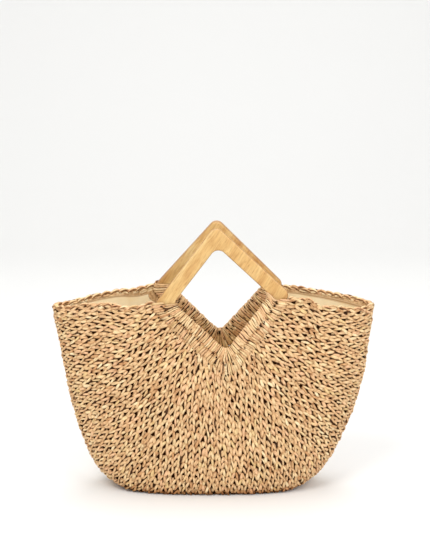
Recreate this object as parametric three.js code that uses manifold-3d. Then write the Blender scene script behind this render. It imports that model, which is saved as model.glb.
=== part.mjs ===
// Straw basket bag with two wooden diamond handles.
// Millimetres, +Z up, front towards -Y. The bag stands on its flat base at z = 0.
import * as THREE from 'three';
import { mergeVertices } from 'three/addons/utils/BufferGeometryUtils.js';
import Module from 'manifold-3d';

const wasm = await Module();
wasm.setup();

// ---- straw pouch -----------------------------------------------------------
const wall = 4.5;            // thickness of the crocheted straw
const around = 48;           // steps round each section
const rimEndX = 202;         // the rim line: lowest at the two ends
const rimEndLeftZ = 235;
const rimEndRightZ = 237.5;
const rimHandleX = 84;       // and highest beside the handles
const rimHandleZ = 251.5;
const rimCurve = 1.5;
// how far each rim hangs below that line: place along the bag, drop
const frontSag = [
  [-202, 0], [-190, 0.5], [-160, 0], [-145, 0.5], [-131, 1.5], [-121, 4.5], [-110, 7.5], [-99, 8.5],
  [-88, 6.5], [-78, 3], [-60, 2], [60, 0], [85, -2.5], [105, -3], [117, -2], [126, 1.5],
  [135, 6.5], [145, 5.5], [155, 5], [165, 6], [177, 6.5], [190, 3.5], [202, 0],
];
const backSag = [
  [-202, 0], [-190, 2.2], [-170, 3.2], [-146, 1.9], [-126, 1.5], [-106, 2.8], [-97, 3],
  [-86, 0.8], [-76, 0], [202, 0],
];

// outer sections of the pouch, from the base up
const bodySections = [
  { z: 0, halfLength: 100, halfDepth: 40, square: 3.2, shiftX: -4 },
  { z: 3, halfLength: 113, halfDepth: 44, square: 3, shiftX: -4 },
  { z: 11, halfLength: 129, halfDepth: 49, square: 2.7, shiftX: -4 },
  { z: 26, halfLength: 145, halfDepth: 53, square: 2.5, shiftX: -3.5 },
  { z: 43, halfLength: 155.5, halfDepth: 55, square: 2.35, shiftX: -2.5 },
  { z: 59, halfLength: 162.5, halfDepth: 56, square: 2.3, shiftX: -1.5 },
  { z: 75, halfLength: 169, halfDepth: 56.5, square: 2.2, shiftX: -1 },
  { z: 91, halfLength: 175, halfDepth: 57, square: 2.15, shiftX: 0 },
  { z: 108, halfLength: 180, halfDepth: 57.3, square: 2.1, shiftX: 0.6 },
  { z: 131, halfLength: 185.5, halfDepth: 57.5, square: 2.1, shiftX: 1.6 },
  { z: 155, halfLength: 190, halfDepth: 57.2, square: 2.1, shiftX: 2 },
  { z: 171, halfLength: 192.5, halfDepth: 55.6, square: 2.1, shiftX: 1.6 },
  { z: 194, halfLength: 195.5, halfDepth: 52.3, square: 2.05, shiftX: 1.2 },
  { z: 210, halfLength: 198.3, halfDepth: 50.4, square: 2, shiftX: 0.8 },
  { z: 226, halfLength: 200.5, halfDepth: 48.6, square: 2, shiftX: 0.3 },
  { z: 238, halfLength: 202, halfDepth: 47.8, square: 2, shiftX: 0 },
  { z: 262, halfLength: 205, halfDepth: 46.5, square: 2, shiftX: 0 },
];

// ---- lining ----------------------------------------------------------------
const liningGap = 0.6;       // between straw and cloth
const liningThick = 1.2;
// its hem lies this far below the straw rim
const hemDrop = [[-200, 3.6], [-150, 4.2], [-115, 5.6], [-85, 8.8], [85, 7.8], [200, 7.2]];
const liningNotch = 3;       // cut back round the wraps

// ---- wooden frames ---------------------------------------------------------
const barWidth = 18;         // seen from the front
const barThick = 9;
const halfAngle = 42.5;      // between the upright and each bar, degrees
const innerHalfHeight = 66;  // of the diamond opening, sharp corners
const innerCorner = 10;
const outerCorner = 10;
const barEdge = 1.5;         // rounding along the bars
const frameLean = 8.6;       // both frames lean inwards, degrees

// the two frames: centre of the diamond, and its turn in its own plane
const frames = [
  { side: 'front', sign: -1, centreX: 11, centreY: 39.2, centreZ: 252, turn: 4.9 },
  { side: 'back', sign: 1, centreX: 6.8, centreY: 39.2, centreZ: 252, turn: 1.6 },
];

// ---- straw wraps -----------------------------------------------------------
const wrapThick = 2.2;       // straw bound round the lower half of each frame
const fit = 0.3;             // clearance between neighbours
const wrapTop = 2;           // the wraps end just above the side corners
const wrapEdge = 2.5;

const rad = THREE.MathUtils.degToRad;

function toManifold(geometry) {
  const plain = new THREE.BufferGeometry();
  plain.setAttribute('position', geometry.getAttribute('position').clone());
  if (geometry.getIndex()) plain.setIndex(geometry.getIndex().clone());
  const merged = mergeVertices(plain, 1e-3);
  return new wasm.Manifold(new wasm.Mesh({
    numProp: 3,
    vertProperties: new Float32Array(merged.getAttribute('position').array),
    triVerts: new Uint32Array(merged.getIndex().array),
  }));
}

function toGeometry(solid) {
  const mesh = solid.getMesh();
  const positions = new Float32Array(mesh.numVert * 3);
  for (let i = 0; i < mesh.numVert; i += 1) {
    for (let k = 0; k < 3; k += 1) positions[3 * i + k] = mesh.vertProperties[i * mesh.numProp + k];
  }
  const geometry = new THREE.BufferGeometry();
  geometry.setAttribute('position', new THREE.BufferAttribute(positions, 3));
  geometry.setIndex(new THREE.BufferAttribute(new Uint32Array(mesh.triVerts), 1));
  const merged = mergeVertices(geometry, 1e-3);
  merged.computeVertexNormals();
  return merged;
}

// a closed loft through the sections, drawn in by inset on every side
function pouch(inset) {
  const positions = [];
  const index = [];
  for (const row of bodySections) {
    const a = row.halfLength - inset;
    const b = row.halfDepth - inset;
    for (let i = 0; i < around; i += 1) {
      const t = (i / around) * Math.PI * 2;
      const c = Math.cos(t);
      const s = Math.sin(t);
      const e = 2 / row.square;
      positions.push(
        row.shiftX + a * Math.sign(c) * Math.abs(c) ** e,
        b * Math.sign(s) * Math.abs(s) ** e,
        row.z + inset,
      );
    }
  }
  const last = bodySections.length - 1;
  const low = positions.length / 3;
  positions.push(bodySections[0].shiftX, 0, bodySections[0].z + inset);
  positions.push(bodySections[last].shiftX, 0, bodySections[last].z + inset);
  for (let i = 0; i < around; i += 1) {
    const j = (i + 1) % around;
    for (let r = 0; r < last; r += 1) {
      const p = r * around;
      const q = p + around;
      index.push(p + i, p + j, q + j, p + i, q + j, q + i);
    }
    index.push(low, j, i);
    index.push(low + 1, last * around + i, last * around + j);
  }
  const geometry = new THREE.BufferGeometry();
  geometry.setAttribute('position', new THREE.BufferAttribute(new Float32Array(positions), 3));
  geometry.setIndex(index);
  return toManifold(geometry);
}

function rimHeight(x) {
  const out = Math.max(0, Math.abs(x) - rimHandleX) / (rimEndX - rimHandleX);
  const end = x < 0 ? rimEndLeftZ : rimEndRightZ;
  return rimHandleZ - (rimHandleZ - end) * out ** rimCurve;
}

// straight lines between the rows of a table
function along(table, x) {
  if (x <= table[0][0]) return table[0][1];
  for (let i = 1; i < table.length; i += 1) {
    const [x0, v0] = table[i - 1];
    const [x1, v1] = table[i];
    if (x <= x1) return v0 + ((v1 - v0) * (x - x0)) / (x1 - x0);
  }
  return table[table.length - 1][1];
}

// everything above the rim line, lowered by drop
function aboveRim(drop) {
  const sides = [frontSag, backSag].map((sag, side) => {
    const shape = new THREE.Shape();
    shape.moveTo(-260, 400);
    for (let x = -260; x <= 260; x += 10) {
      shape.lineTo(x, rimHeight(x) - along(sag, x) - along(drop, x));
    }
    shape.lineTo(260, 400);
    shape.closePath();
    const geometry = new THREE.ExtrudeGeometry(shape, { depth: 130, bevelEnabled: false });
    geometry.rotateX(Math.PI / 2);
    geometry.translate(0, side * 130, 0);
    return toManifold(geometry);
  });
  return sides[0].add(sides[1]);
}

// diamond with rounded corners; offset moves its four sides outwards
function diamond(Path, halfHeight, offset, corner, corners = 6) {
  const a = rad(halfAngle);
  const h = halfHeight + offset / Math.sin(a);
  const w = h * Math.tan(a);
  const r = Math.max(0.5, corner + offset);
  const path = new Path();
  const centres = [
    { x: 0, y: h - r / Math.sin(a), from: a, to: Math.PI - a },
    { x: -(w - r / Math.cos(a)), y: 0, from: Math.PI - a, to: Math.PI + a },
    { x: 0, y: -(h - r / Math.sin(a)), from: Math.PI + a, to: 2 * Math.PI - a },
    { x: w - r / Math.cos(a), y: 0, from: 2 * Math.PI - a, to: 2 * Math.PI + a },
  ];
  let first = true;
  for (const c of centres) {
    for (let i = 0; i <= corners; i += 1) {
      const t = c.from + ((c.to - c.from) * i) / corners;
      const x = c.x + r * Math.cos(t);
      const y = c.y + r * Math.sin(t);
      if (first) path.moveTo(x, y);
      else path.lineTo(x, y);
      first = false;
    }
  }
  path.closePath();
  return path;
}

const outerHalfHeight = innerHalfHeight + barWidth / Math.sin(rad(halfAngle));

// a ring between the grown outer diamond and the shrunk inner one
function ring(grow, thick, edge) {
  const shape = diamond(THREE.Shape, outerHalfHeight, grow, outerCorner);
  shape.holes.push(diamond(THREE.Path, innerHalfHeight, -grow, innerCorner));
  const geometry = new THREE.ExtrudeGeometry(shape, {
    depth: thick - 2 * edge,
    bevelEnabled: edge > 0,
    bevelThickness: edge,
    bevelSize: edge,
    bevelOffset: -edge,
    bevelSegments: 2,
    steps: 1,
  });
  geometry.translate(0, 0, -(thick - 2 * edge) / 2);
  return toManifold(geometry);
}

function prism(grow, depth) {
  const shape = diamond(THREE.Shape, outerHalfHeight, grow, outerCorner);
  const geometry = new THREE.ExtrudeGeometry(shape, { depth, bevelEnabled: false });
  geometry.translate(0, 0, -depth / 2);
  return toManifold(geometry);
}

// from the frame's own plane (x right, y up, z towards the front) into the bag
function place(solid, row) {
  const m = new THREE.Matrix4()
    .makeTranslation(row.centreX, row.sign * row.centreY, row.centreZ)
    .multiply(new THREE.Matrix4().makeRotationX(row.sign * rad(frameLean)))
    .multiply(new THREE.Matrix4().makeRotationX(Math.PI / 2))
    .multiply(new THREE.Matrix4().makeRotationZ(rad(row.turn)));
  return solid.transform(m.elements);
}

const group = new THREE.Group();
group.name = 'straw_bag';

function add(name, solid, colour, roughness) {
  const mesh = new THREE.Mesh(
    toGeometry(solid),
    new THREE.MeshStandardMaterial({ color: colour, roughness, metalness: 0 }),
  );
  mesh.name = name;
  mesh.material.name = name;
  group.add(mesh);
}

let body = pouch(0).subtract(pouch(wall)).subtract(aboveRim([[0, 0]]));
let lining = pouch(wall + liningGap)
  .subtract(pouch(wall + liningGap + liningThick))
  .subtract(aboveRim(hemDrop));

for (const row of frames) {
  const frame = ring(0, barThick, barEdge);
  const below = toManifold(new THREE.BoxGeometry(400, 400, 100).translate(0, wrapTop - 200, 0));
  const sleeve = ring(fit + wrapThick, barThick + 2 * (fit + wrapThick), wrapEdge)
    .intersect(below)
    .subtract(ring(fit, barThick + 2 * fit, 0));
  add(`handle_${row.side}`, place(frame, row), 0xe3b878, 0.45);
  add(`wrap_${row.side}`, place(sleeve, row), 0xc99a62, 0.85);
  body = body.subtract(place(prism(2 * fit + wrapThick, 50), row));
  lining = lining.subtract(place(prism(fit + wrapThick + liningNotch, 50), row));
}

add('straw_body', body, 0xdcb47e, 0.85);
add('lining', lining, 0xdec291, 0.9);

export default group;
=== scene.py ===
# Straw basket bag with two wooden diamond handles.
# Sizes in the tables are millimetres; everything is scaled to metres when a mesh is made.
import math

import bmesh
import bpy
import numpy as np
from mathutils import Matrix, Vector


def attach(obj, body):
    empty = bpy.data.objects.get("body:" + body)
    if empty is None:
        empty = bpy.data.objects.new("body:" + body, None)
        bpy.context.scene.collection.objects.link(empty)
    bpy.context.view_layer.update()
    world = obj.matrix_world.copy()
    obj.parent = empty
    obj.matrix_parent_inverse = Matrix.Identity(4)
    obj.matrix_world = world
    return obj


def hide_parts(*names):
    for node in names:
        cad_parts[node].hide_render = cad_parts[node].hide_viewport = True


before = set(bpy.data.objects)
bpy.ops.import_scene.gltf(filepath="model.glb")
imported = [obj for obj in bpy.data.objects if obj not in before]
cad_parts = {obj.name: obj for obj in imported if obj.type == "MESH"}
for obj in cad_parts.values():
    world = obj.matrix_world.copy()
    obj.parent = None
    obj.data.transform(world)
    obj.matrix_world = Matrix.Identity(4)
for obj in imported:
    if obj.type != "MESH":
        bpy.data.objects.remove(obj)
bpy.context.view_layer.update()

rng = np.random.default_rng(20)
MM = 0.001

# ---------------------------------------------------------------- the pouch
SECTIONS = np.array(
    [  # z, half length, half depth, squareness, shift in x
        (0, 100, 40, 3.2, -4),
        (3, 113, 44, 3.0, -4),
        (11, 129, 49, 2.7, -4),
        (26, 145, 53, 2.5, -3.5),
        (43, 155.5, 55, 2.35, -2.5),
        (59, 162.5, 56, 2.3, -1.5),
        (75, 169, 56.5, 2.2, -1),
        (91, 175, 57, 2.15, 0),
        (108, 180, 57.3, 2.1, 0.6),
        (131, 185.5, 57.5, 2.1, 1.6),
        (155, 190, 57.2, 2.1, 2),
        (171, 192.5, 55.6, 2.1, 1.6),
        (194, 195.5, 52.3, 2.05, 1.2),
        (210, 198.3, 50.4, 2.0, 0.8),
        (226, 200.5, 48.6, 2.0, 0.3),
        (238, 202, 47.8, 2.0, 0),
        (262, 205, 46.5, 2.0, 0),
    ],
    float,
)
RIM_END_X, RIM_END_LEFT, RIM_END_RIGHT = 202.0, 235.0, 237.5
RIM_HANDLE_X, RIM_HANDLE_Z, RIM_CURVE = 84.0, 251.5, 1.5
# how far each rim hangs below that line, by place along the bag
RIM_SAG = {
    "front": (
        (-202, -190, -160, -145, -131, -121, -110, -99, -88, -78, -60, 60, 85, 105, 117, 126, 135, 145, 155, 165, 177, 190, 202),
        (0, 0.5, 0, 0.5, 1.5, 4.5, 7.5, 8.5, 6.5, 3.0, 2.0, 0, -2.5, -3.0, -2.0, 1.5, 6.5, 5.5, 5.0, 6.0, 6.5, 3.5, 0),
    ),
    "back": ((-202, -190, -170, -146, -126, -106, -97, -86, -76, 76, 202), (0, 2.2, 3.2, 1.9, 1.5, 2.8, 2.6, 0.2, -1.6, 0, 0)),
}

# ---------------------------------------------------------------- the frames
BAR_WIDTH, BAR_THICK = 18.0, 9.0
HALF_ANGLE = math.radians(42.5)
INNER_HALF = 66.0
OUTER_HALF = INNER_HALF + BAR_WIDTH / math.sin(HALF_ANGLE)
CORNER = 10.0
LEAN = math.radians(8.6)
FRAMES = {
    "front": dict(sign=-1, x=11.0, y=39.2, z=252.0, turn=math.radians(4.9)),
    "back": dict(sign=1, x=6.8, y=39.2, z=252.0, turn=math.radians(1.6)),
}
WRAP = 2.5  # the wrapped straw stands this far off the wood

# ---------------------------------------------------------------- the stitches
STITCH_WIDE = 8.9  # along a row
ROW_HIGH = 8.8  # from one row to the next
FIRST_ROW = 3.6  # the first row starts this far below the wrapped bar


def ease(t):
    t = np.clip(t, 0, 1)
    return t * t * (3 - 2 * t)


def rim_height(x, side="back"):
    x = np.asarray(x, float)
    out = np.maximum(0, np.abs(x) - RIM_HANDLE_X) / (RIM_END_X - RIM_HANDLE_X)
    end = np.where(x < 0, RIM_END_LEFT, RIM_END_RIGHT)
    sag = smooth_curve(x, *RIM_SAG[side])
    return RIM_HANDLE_Z - (RIM_HANDLE_Z - end) * out**RIM_CURVE - sag


def smooth_curve(xq, x, v):
    """Interpolation through points without overshoot."""
    x, v = np.asarray(x, float), np.asarray(v, float)
    d = np.diff(v) / np.diff(x)
    m = np.empty(len(x))
    m[1:-1] = np.where(d[1:] * d[:-1] > 0, 2 * d[1:] * d[:-1] / (d[1:] + d[:-1] + 1e-12), 0)
    m[0], m[-1] = d[0], d[-1]
    xq = np.clip(xq, x[0], x[-1])
    i = np.clip(np.searchsorted(x, xq) - 1, 0, len(x) - 2)
    h = x[i + 1] - x[i]
    t = (xq - x[i]) / h
    return (
        (2 * t**3 - 3 * t**2 + 1) * v[i]
        + (t**3 - 2 * t**2 + t) * h * m[i]
        + (-2 * t**3 + 3 * t**2) * v[i + 1]
        + (t**3 - t**2) * h * m[i + 1]
    )


def hermite_table(zq, col):
    return smooth_curve(zq, SECTIONS[:, 0], SECTIONS[:, col])


def half_depth(x, z):
    a, b = hermite_table(z, 1), hermite_table(z, 2)
    n, c = hermite_table(z, 3), hermite_table(z, 4)
    q = np.clip(np.abs(x - c) / a, 0, 1)
    return b * (1 - q**n) ** (1 / n)


def frame_point(side, x, h, d=0.0):
    """From a frame's own plane (x right, h up, d outwards) into the bag."""
    f = FRAMES[side]
    x, h, d = np.broadcast_arrays(*(np.asarray(v, float) for v in (x, h, d)))
    c, s = math.cos(f["turn"]), math.sin(f["turn"])
    xr, hr = c * x - s * h, s * x + c * h
    y = f["y"] - hr * math.sin(LEAN) + d * math.cos(LEAN)
    z = f["z"] + hr * math.cos(LEAN) + d * math.sin(LEAN)
    return np.stack([f["x"] + xr, f["sign"] * y, z], -1)


def diamond_corner(half_height, offset, corner, name, steps):
    a = HALF_ANGLE
    h = half_height + offset / math.sin(a)
    w = h * math.tan(a)
    r = max(0.5, corner + offset)
    cx, cy, t0, t1 = {
        "top": (0, h - r / math.sin(a), a, math.pi - a),
        "left": (-(w - r / math.cos(a)), 0, math.pi - a, math.pi + a),
        "bottom": (0, -(h - r / math.sin(a)), math.pi + a, 2 * math.pi - a),
        "right": (w - r / math.cos(a), 0, 2 * math.pi - a, 2 * math.pi + a),
    }[name]
    t = np.linspace(t0, t1, steps)
    return np.stack([cx + r * np.cos(t), cy + r * np.sin(t)], -1)


def facing_places(wide):
    """Facing places on the outer and the inner edge of a wrapped frame's lower
    half. They lie square across the bars and fan out at the bottom corner."""
    edges = []
    for half, offset in ((OUTER_HALF, wide), (INNER_HALF, -wide)):
        arc = diamond_corner(half, offset, CORNER, "bottom", 41)
        top = diamond_corner(half, offset, CORNER, "right", 41)[:21]
        edges.append(np.r_[arc[20:], top])
    runs = [np.r_[0, np.cumsum(np.linalg.norm(np.diff(e, axis=0), axis=1))] for e in edges]
    middle = np.array([np.interp(0.5 * runs[0][-1], runs[0], edges[0][:, c]) for c in range(2)])
    fine = np.linspace(0, runs[1][-1], 800)
    inner = np.stack([np.interp(fine, runs[1], edges[1][:, c]) for c in range(2)], -1)
    behind = 0.5 * runs[0][-1] - fine[np.argmin(((inner - middle) ** 2).sum(1))]
    end, end_in = runs[0][-1], runs[1][-1]
    at = np.linspace(0, end, 700)
    at_in = smooth_curve(at, (0, 12, 33, end - 36, end - 14, end), (0, 2.2, 33 - behind, end - 36 - behind, end_in - 8.0, end_in))
    right = [np.stack([np.interp(t, r, e[:, c]) for c in range(2)], -1) for t, r, e in ((at, runs[0], edges[0]), (at_in, runs[1], edges[1]))]
    both = []
    for e in right:
        left = e[:0:-1] * (-1, 1)
        both.append(np.r_[left, e])
    return both


def resample(points, n):
    d = np.r_[0, np.cumsum(np.linalg.norm(np.diff(points, axis=0), axis=1))]
    q = np.linspace(0, d[-1], n) if np.isscalar(n) else np.asarray(n) * d[-1]
    return np.stack([np.interp(q, d, points[:, k]) for k in range(points.shape[1])], -1), d[-1]


# The pouch's side unrolled: u is the length along a section from its middle.
Z_STEPS = np.linspace(0, 262, 132)
Q_STEPS = np.linspace(0, 1, 160)


def unroll():
    qx = np.zeros((len(Z_STEPS), len(Q_STEPS)))
    qy, total = qx.copy(), np.zeros(len(Z_STEPS))
    t = np.linspace(0, np.pi / 2, 900)
    for i, z in enumerate(Z_STEPS):
        a, b, n = (float(hermite_table(z, c)) for c in (1, 2, 3))
        x, y = a * np.sin(t) ** (2 / n), b * np.cos(t) ** (2 / n)
        d = np.r_[0, np.cumsum(np.hypot(np.diff(x), np.diff(y)))]
        total[i] = d[-1]
        qx[i] = np.interp(Q_STEPS * d[-1], d, x) / a
        qy[i] = np.interp(Q_STEPS * d[-1], d, y) / b
    return qx, qy, total


QX, QY, HALF_ROUND = unroll()


def rolled(u, z):
    """From the unrolled side back on to the pouch."""
    z = np.clip(z, 0, 262)
    q = np.clip(np.abs(u) / np.interp(z, Z_STEPS, HALF_ROUND), 0, 1) * (len(Q_STEPS) - 1)
    zi = z / 262 * (len(Z_STEPS) - 1)
    i, j = np.clip(zi.astype(int), 0, len(Z_STEPS) - 2), np.clip(q.astype(int), 0, len(Q_STEPS) - 2)
    a, b = zi - i, q - j
    fx, fy = (
        (1 - a) * (1 - b) * t[i, j] + a * (1 - b) * t[i + 1, j] + (1 - a) * b * t[i, j + 1] + a * b * t[i + 1, j + 1]
        for t in (QX, QY)
    )
    x = hermite_table(z, 4) + np.sign(u) * hermite_table(z, 1) * fx
    return x, hermite_table(z, 2) * fy


def unrolled(x, z):
    q = np.abs(x - hermite_table(z, 4)) / hermite_table(z, 1)
    i = int(round(z / 262 * (len(Z_STEPS) - 1)))
    return math.copysign(np.interp(q, QX[i], Q_STEPS) * np.interp(z, Z_STEPS, HALF_ROUND), x - hermite_table(z, 4))


def under_rim(u, level, side):
    """Heights counted from the rim line near the mouth, from the floor lower down."""
    z = np.array(level, float)
    for _ in range(6):
        x, _y = rolled(u, z)
        z = level + (rim_height(x, side) - RIM_HANDLE_Z) * np.clip((z - 50) / 195, 0, 1.05) ** 1.5
    return z


# The straw lines run from the wrapped V of a frame out to the seam between
# the two sides. e goes along the rows from the left rim to the right rim.
NE, NF = 281, 281
E = np.linspace(0, 1, NE)
# e from the rim, share of that half of the V, walk down the outline
LEFT_LINES = np.array(
    [
        (0.00, 0.00, 0.00),
        (0.07, 0.13, 0.13),
        (0.14, 0.26, 0.26),
        (0.24, 0.50, 0.454),
        (0.30, 0.575, 0.56),
        (0.36, 0.63, 0.67),
        (0.41, 0.68, 0.77),
        (0.45, 0.75, 0.87),
        (0.50, 1.00, 1.00),
    ]
)
RIGHT_LINES = np.array(
    [
        (0.00, 0.00, 0.00),
        (0.05, 0.11, 0.10),
        (0.10, 0.28, 0.178),
        (0.15, 0.42, 0.258),
        (0.24, 0.575, 0.45),
        (0.31, 0.645, 0.61),
        (0.38, 0.71, 0.77),
        (0.44, 0.83, 0.88),
        (0.50, 1.00, 1.00),
    ]
)
# degrees below the horizontal, at the V by share and at the outline by walk
LEFT_START = ((0, 0.06, 0.13, 0.26, 0.5, 0.65, 0.75, 0.9, 1.0), (0, 14, 28, 40, 52, 66, 82, 95, 101))
RIGHT_START = ((0, 0.05, 0.11, 0.29, 0.44, 0.6, 0.7, 0.85, 1.0), (0, 14, 24, 33, 40, 52, 65, 74, 79))
LEFT_END = ((0, 0.04, 0.1, 0.26, 0.454, 0.597, 0.66, 0.717, 0.86, 1.0), (0, 8, 15, 20, 28, 40, 55, 68, 82, 89))
RIGHT_END = ((0, 0.1, 0.178, 0.258, 0.45, 0.61, 0.68, 0.77, 0.88, 1.0), (0, 3, 7, 13, 28, 38, 55, 76, 84, 89))
FOOT_MIDDLE = {"front": 35.0, "back": 10.0}


def outline_half(sign, middle):
    """From a rim end down the side and along the foot, as x, z."""
    z = np.r_[np.linspace(RIM_END_RIGHT if sign > 0 else RIM_END_LEFT, 30, 120), 30 * (1 - np.linspace(0.01, 1, 80)) ** 1.6]
    x = hermite_table(z, 4) + sign * hermite_table(z, 1)
    foot = np.linspace(x[-1], middle, 80)[1:]
    return np.r_[np.stack([x, z], -1), np.stack([foot, 0 * foot], -1)]


def v_path(side):
    """The lower half of a frame with its wrap, as places in the frame's plane."""
    path = np.concatenate([diamond_corner(OUTER_HALF, WRAP, CORNER, n, 24) for n in ("left", "bottom", "right")])
    path, _ = resample(path, 1200)
    first, last = int(np.argmin(path[:, 0])), int(np.argmax(path[:, 0]))
    path = path[first : last + 1]
    ends = []
    for i in (0, -1):
        x, _y, z = frame_point(side, *path[i])
        up = max(0.0, float(rim_height(x, side) - z))
        ends.append(path[i] + np.stack([0 * np.linspace(up, 0, 20), np.linspace(up, 0, 20)], -1))
    path = np.r_[ends[0][:-1], path, ends[1][::-1][1:]]
    p3 = frame_point(side, path[:, 0], path[:, 1])
    keep = p3[:, 2] < rim_height(p3[:, 0], side) + 0.4
    return path[keep]


def straw_field(side):
    f = FRAMES[side]
    path = v_path(side)
    low = int(np.argmin(frame_point(side, path[:, 0], path[:, 1])[:, 2]))
    grid, length = np.zeros((NE, NF, 3)), np.zeros(NE)
    at_v, into_v = np.zeros((NE, 2)), np.zeros((NE, 2))
    ends, a0, a1, share_all = np.zeros((NE, 2)), np.zeros(NE), np.zeros(NE), np.zeros(NE)
    for sign, half, table, start, end in (
        (-1, path[: low + 1], LEFT_LINES, LEFT_START, LEFT_END),
        (1, path[low:][::-1], RIGHT_LINES, RIGHT_START, RIGHT_END),
    ):
        pick = E <= 0.5 if sign < 0 else E > 0.5
        e = E[pick] if sign < 0 else 1 - E[pick]
        share, walk = smooth_curve(e, table[:, 0], table[:, 1]), smooth_curve(e, table[:, 0], table[:, 2])
        at_v[pick], _ = resample(half, share)
        fine, _ = resample(half, 400)
        tang = np.gradient(fine, axis=0)
        for c in range(2):
            tang[:, c] = np.convolve(np.pad(tang[:, c], 12, "edge"), np.ones(25) / 25, "valid")
        t2 = np.stack([np.interp(share, np.linspace(0, 1, 400), tang[:, c]) for c in range(2)], -1)
        t2 /= np.linalg.norm(t2, axis=1)[:, None]
        ends[pick], _ = resample(outline_half(sign, FOOT_MIDDLE[side]), walk)
        s0, s1 = smooth_curve(share, *start), smooth_curve(walk, *end)
        a0[pick], a1[pick] = (180 + s0, 180 + s1) if sign < 0 else (360 - s0, 360 - s1)
        share_all[pick] = share
    # the facing place on the inner edge of the wrapped bar, per mm inwards
    both, _ = resample(np.concatenate(facing_places(WRAP), 1), 1500)
    near = np.argmin(((at_v[:, None] - both[None, :, :2]) ** 2).sum(-1), axis=1)
    to_inner = both[near, 2:] - both[near, :2]
    into_v[:] = to_inner / (BAR_WIDTH + 2 * WRAP)
    for arr in (a0, a1):
        arr[:] = np.convolve(np.pad(arr, 4, "edge"), np.ones(9) / 9, "valid")
    a0[0] = a1[0] = 180
    a0[-1] = a1[-1] = 360
    t = np.linspace(0, 1, 300)[:, None]
    h00, h10, h01, h11 = 2 * t**3 - 3 * t**2 + 1, t**3 - 2 * t**2 + t, -2 * t**3 + 3 * t**2, t**3 - t**2
    for i in range(NE):
        x0, _y, z0 = frame_point(side, *at_v[i])
        z0 = min(float(z0), float(rim_height(x0, side)))
        lift = lambda x, z: z - float(rim_height(x, side) - RIM_HANDLE_Z) * float(np.clip((z - 50) / 195, 0, 1.05) ** 1.5)
        p0 = np.array([unrolled(x0, z0), lift(x0, z0)])
        x1, z1 = ends[i]
        foot = z1 < 0.01
        u1 = unrolled(x1, z1) if foot else math.copysign(float(np.interp(z1, Z_STEPS, HALF_ROUND)), E[i] - 0.5)
        p1 = np.array([u1, lift(x1, z1)])
        chord = np.linalg.norm(p1 - p0)
        d0 = np.array([math.cos(math.radians(a0[i])), math.sin(math.radians(a0[i]))])
        d1 = np.array([math.cos(math.radians(a1[i])), math.sin(math.radians(a1[i]))])
        uz = h00 * p0 + h10 * d0 * chord * 0.85 + h01 * p1 + h11 * d1 * chord * 0.95
        z = under_rim(uz[:, 0], uz[:, 1], side)
        x, y = rolled(uz[:, 0], z)
        pts = np.stack([x, y, np.clip(z, 0, 262)], -1)
        if foot:
            under = np.linspace(1, 0, 60)[1:]
            pts = np.r_[pts, np.stack([0 * under + x[-1], y[-1] * under, 0 * under], -1)]
        else:
            pts[-1, 1] = 0
        grid[i], length[i] = resample(pts, NF)
    nrm = np.cross(np.gradient(grid, axis=0), np.gradient(grid, axis=1))
    nrm /= np.linalg.norm(nrm, axis=-1)[..., None] + 1e-9
    nrm *= np.sign(np.median(np.einsum("ijk,ijk->ij", nrm, grid - np.array([0, 0, 120.0]))))
    nrm[:, -1, 1] = 0
    for _ in range(6):
        p = np.pad(nrm, ((1, 1), (1, 1), (0, 0)), "edge")
        nrm = (p[:-2, 1:-1] + p[2:, 1:-1] + p[1:-1, :-2] + p[1:-1, 2:] + 2 * nrm) / 6
        nrm[:, -1, 1] = 0
        nrm /= np.linalg.norm(nrm, axis=-1)[..., None] + 1e-9
    if f["sign"] < 0:
        grid[..., 1] *= -1
        nrm[..., 1] *= -1
    return dict(side=side, grid=grid, nrm=nrm, length=length, at_v=at_v, into_v=into_v)


def on_field(field, e, s, w):
    """Points and normals at row place e, distance s from the V (mm) and height w."""
    e, s, w = np.broadcast_arrays(e, s, w)
    ee = np.clip(e, 0, 1) * (NE - 1)
    length = np.interp(ee, np.arange(NE), field["length"])
    ff = np.clip(s / length, 0, 1) * (NF - 1)
    i = np.clip(ee.astype(int), 0, NE - 2)
    j = np.clip(ff.astype(int), 0, NF - 2)
    a, b = (ee - i)[..., None], (ff - j)[..., None]
    out = []
    for g in (field["grid"], field["nrm"]):
        out.append(
            (1 - a) * (1 - b) * g[i, j]
            + a * (1 - b) * g[i + 1, j]
            + (1 - a) * b * g[i, j + 1]
            + a * b * g[i + 1, j + 1]
        )
    p, n = out
    n /= np.linalg.norm(n, axis=-1)[..., None] + 1e-9
    # before the V the straw lies on the wrapped bar
    back = np.maximum(-s, 0)
    v2 = (1 - a) * field["at_v"][i] + a * field["at_v"][i + 1]
    in2 = (1 - a) * field["into_v"][i] + a * field["into_v"][i + 1]
    bar = v2 + in2 * back[..., None]
    face = frame_point(field["side"], bar[..., 0], bar[..., 1], BAR_THICK / 2 + WRAP + 0.6)
    fn = frame_point(field["side"], bar[..., 0], bar[..., 1], BAR_THICK / 2 + WRAP + 1.6) - face
    k = np.clip((6 - s) / 9, 0, 1)[..., None] ** 1.3
    k = k * k * (3 - 2 * k)
    p = (1 - k) * p + k * face
    # over the body the face is carried on outwards
    ahead = np.maximum(s, 0)[..., None] * k / (np.linalg.norm(in2, axis=-1)[..., None] + 1e-9)
    p = p - np.stack([in2[..., 0], 0 * s, in2[..., 1]], -1) * ahead
    n = (1 - k) * n + k * fn
    n /= np.linalg.norm(n, axis=-1)[..., None] + 1e-9
    return p + n * w[..., None], n


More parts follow.
